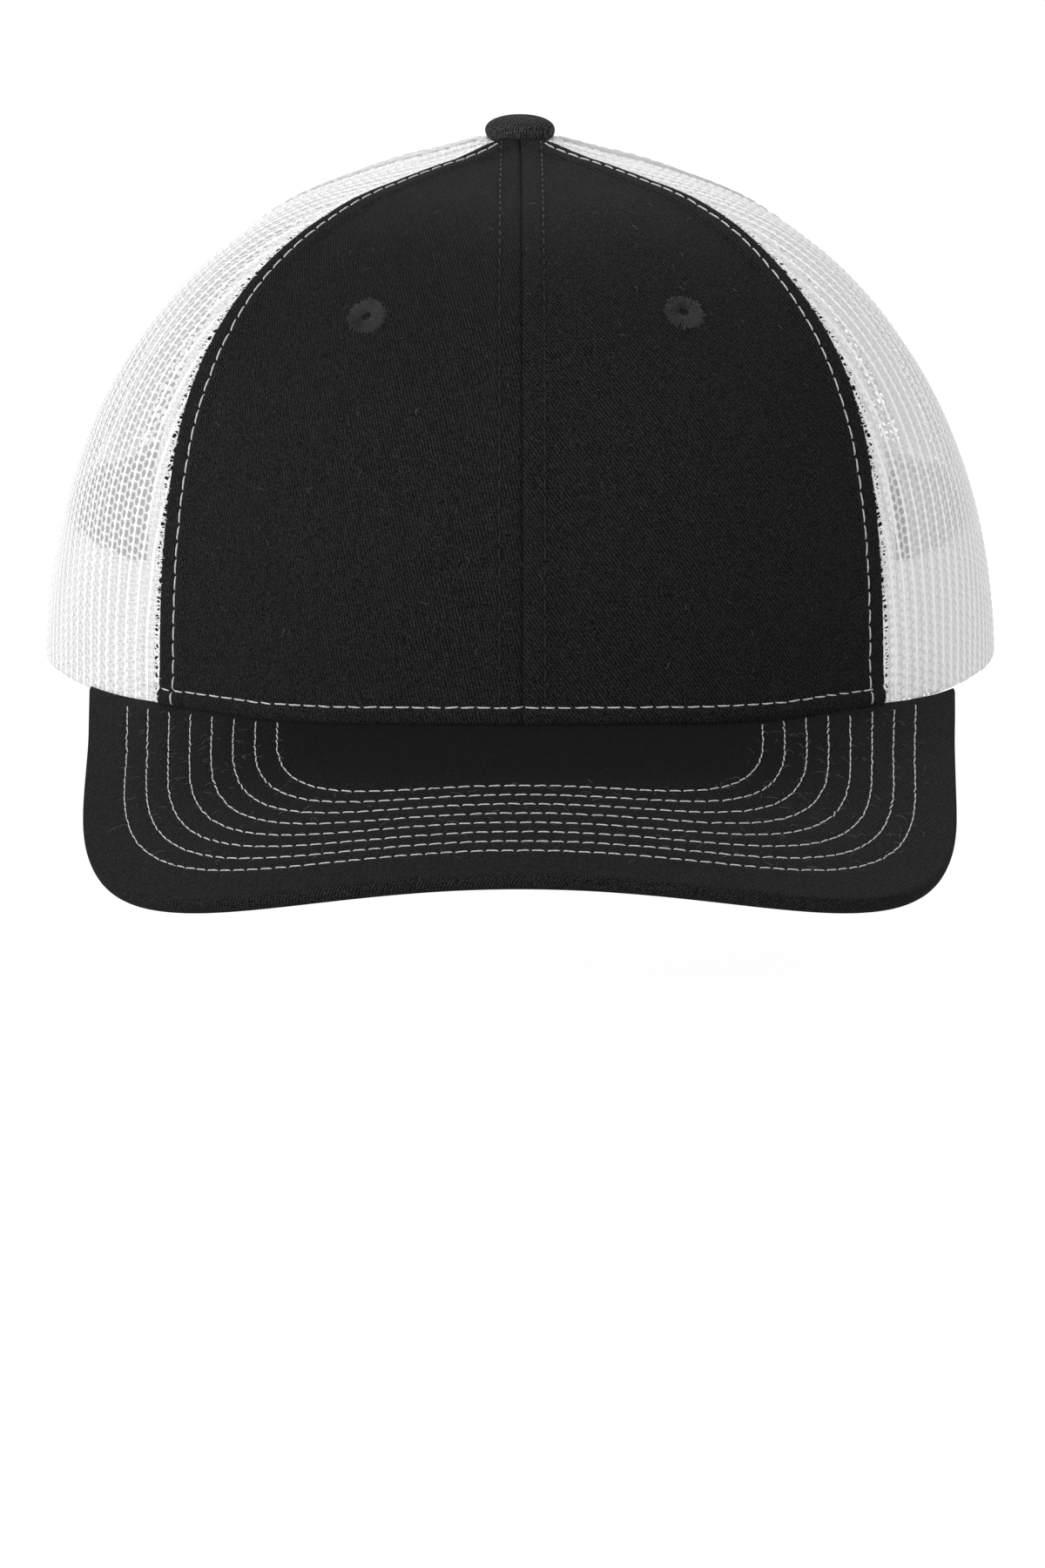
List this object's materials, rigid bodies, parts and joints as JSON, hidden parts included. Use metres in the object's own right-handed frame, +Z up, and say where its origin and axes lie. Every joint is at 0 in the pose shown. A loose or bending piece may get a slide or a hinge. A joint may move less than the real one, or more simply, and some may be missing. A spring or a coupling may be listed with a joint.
{
  "type": "trucker cap",
  "caption": "Structured six-panel cap with twill front panels, open mesh sides and back, a curved stitched visor, a covered top button and a rear plastic snap closure.",
  "frame": {"origin": "bottom centre of the bounding box; the plane of the crown's rim is 23.7 mm above it and the centre of the head opening 35.7 mm behind it", "axes": "+Z up through the top button, -Y forward along the visor, +X to the wearer's left"},
  "size_m": [0.188, 0.2655, 0.1305],
  "materials": {
    "back_arch_binding": "woven cotton",
    "buckram_left": "stiffened open weave",
    "buckram_right": "stiffened open weave",
    "button_cover": "cotton twill, matt",
    "button_rivet": "plated",
    "button_shell": "plated",
    "button_washer": "plated",
    "care_label_blank": "woven cotton",
    "eyelet_left": "embroidered thread",
    "eyelet_right": "embroidered thread",
    "front_hem_thread": "twisted polyester thread",
    "front_panel_left": "cotton twill, matt",
    "front_panel_right": "cotton twill, matt",
    "hole_strap": "satin moulded plastic",
    "hole_strap_sewn_tab": "satin moulded plastic",
    "mesh_back_panel_left": "open knitted polyester mesh",
    "mesh_back_panel_right": "open knitted polyester mesh",
    "mesh_side_panel_left": "open knitted polyester mesh",
    "mesh_side_panel_right": "open knitted polyester mesh",
    "peg_strap": "satin moulded plastic",
    "peg_strap_sewn_tab": "satin moulded plastic",
    "seam_tape_back_centre": "woven cotton",
    "seam_tape_front_centre": "woven cotton",
    "seam_tape_front_left": "woven cotton",
    "seam_tape_front_right": "woven cotton",
    "seam_tape_side_left": "woven cotton",
    "seam_tape_side_right": "woven cotton",
    "seam_thread_left": "twisted polyester thread",
    "seam_thread_right": "twisted polyester thread",
    "sweatband": "woven cotton",
    "visor_board": "plain polyethylene sheet",
    "visor_stitch_row_1": "twisted polyester thread",
    "visor_stitch_row_2": "twisted polyester thread",
    "visor_stitch_row_3": "twisted polyester thread",
    "visor_stitch_row_4": "twisted polyester thread",
    "visor_stitch_row_5": "twisted polyester thread",
    "visor_stitch_row_6": "twisted polyester thread",
    "visor_stitch_row_7": "twisted polyester thread",
    "visor_stitch_row_8": "twisted polyester thread",
    "visor_top_cloth": "cotton twill, matt",
    "visor_under_cloth": "cotton twill, matt"
  },
  "bodies": {
    "crown": {"back_arch_binding": "back_arch_binding", "buckram_left": "buckram_left", "buckram_right": "buckram_right", "button_cover": "button_cover", "button_rivet": "button_rivet", "button_shell": "button_shell", "button_washer": "button_washer", "care_label_blank": "care_label_blank", "eyelet_left": "eyelet_left", "eyelet_right": "eyelet_right", "front_hem_thread": "front_hem_thread", "front_panel_left": "front_panel_left", "front_panel_right": "front_panel_right", "hole_strap_sewn_tab": "hole_strap_sewn_tab", "mesh_back_panel_left": "mesh_back_panel_left", "mesh_back_panel_right": "mesh_back_panel_right", "mesh_side_panel_left": "mesh_side_panel_left", "mesh_side_panel_right": "mesh_side_panel_right", "peg_strap_sewn_tab": "peg_strap_sewn_tab", "seam_tape_back_centre": "seam_tape_back_centre", "seam_tape_front_centre": "seam_tape_front_centre", "seam_tape_front_left": "seam_tape_front_left", "seam_tape_front_right": "seam_tape_front_right", "seam_tape_side_left": "seam_tape_side_left", "seam_tape_side_right": "seam_tape_side_right", "seam_thread_left": "seam_thread_left", "seam_thread_right": "seam_thread_right", "sweatband": "sweatband"},
    "bill": {"visor_board": "visor_board", "visor_stitch_row_1": "visor_stitch_row_1", "visor_stitch_row_2": "visor_stitch_row_2", "visor_stitch_row_3": "visor_stitch_row_3", "visor_stitch_row_4": "visor_stitch_row_4", "visor_stitch_row_5": "visor_stitch_row_5", "visor_stitch_row_6": "visor_stitch_row_6", "visor_stitch_row_7": "visor_stitch_row_7", "visor_stitch_row_8": "visor_stitch_row_8", "visor_top_cloth": "visor_top_cloth", "visor_under_cloth": "visor_under_cloth"},
    "hole_strap": {"hole_strap": "hole_strap"},
    "peg_strap": {"peg_strap": "peg_strap"}
  },
  "joints": [
    {"name": "bill_flex", "type": "hinge", "parent": "crown", "child": "bill", "pos_m": [0, -0.0523, 0.02471], "axis": [1, 0, 0], "range_deg": [-8, 8], "stiffness_Nm_per_rad": 0.8},
    {"name": "hole_strap_swing", "type": "hinge", "parent": "crown", "child": "hole_strap", "pos_m": [-0.03632, 0.12297, 0.03521], "axis": [0, 0, 1], "range_deg": [0, 60], "stiffness_Nm_per_rad": 0.01},
    {"name": "peg_strap_swing", "type": "hinge", "parent": "crown", "child": "peg_strap", "pos_m": [0.03574, 0.1217, 0.03521], "axis": [0, 0, 1], "range_deg": [0, 25], "stiffness_Nm_per_rad": 0.01}
  ]
}
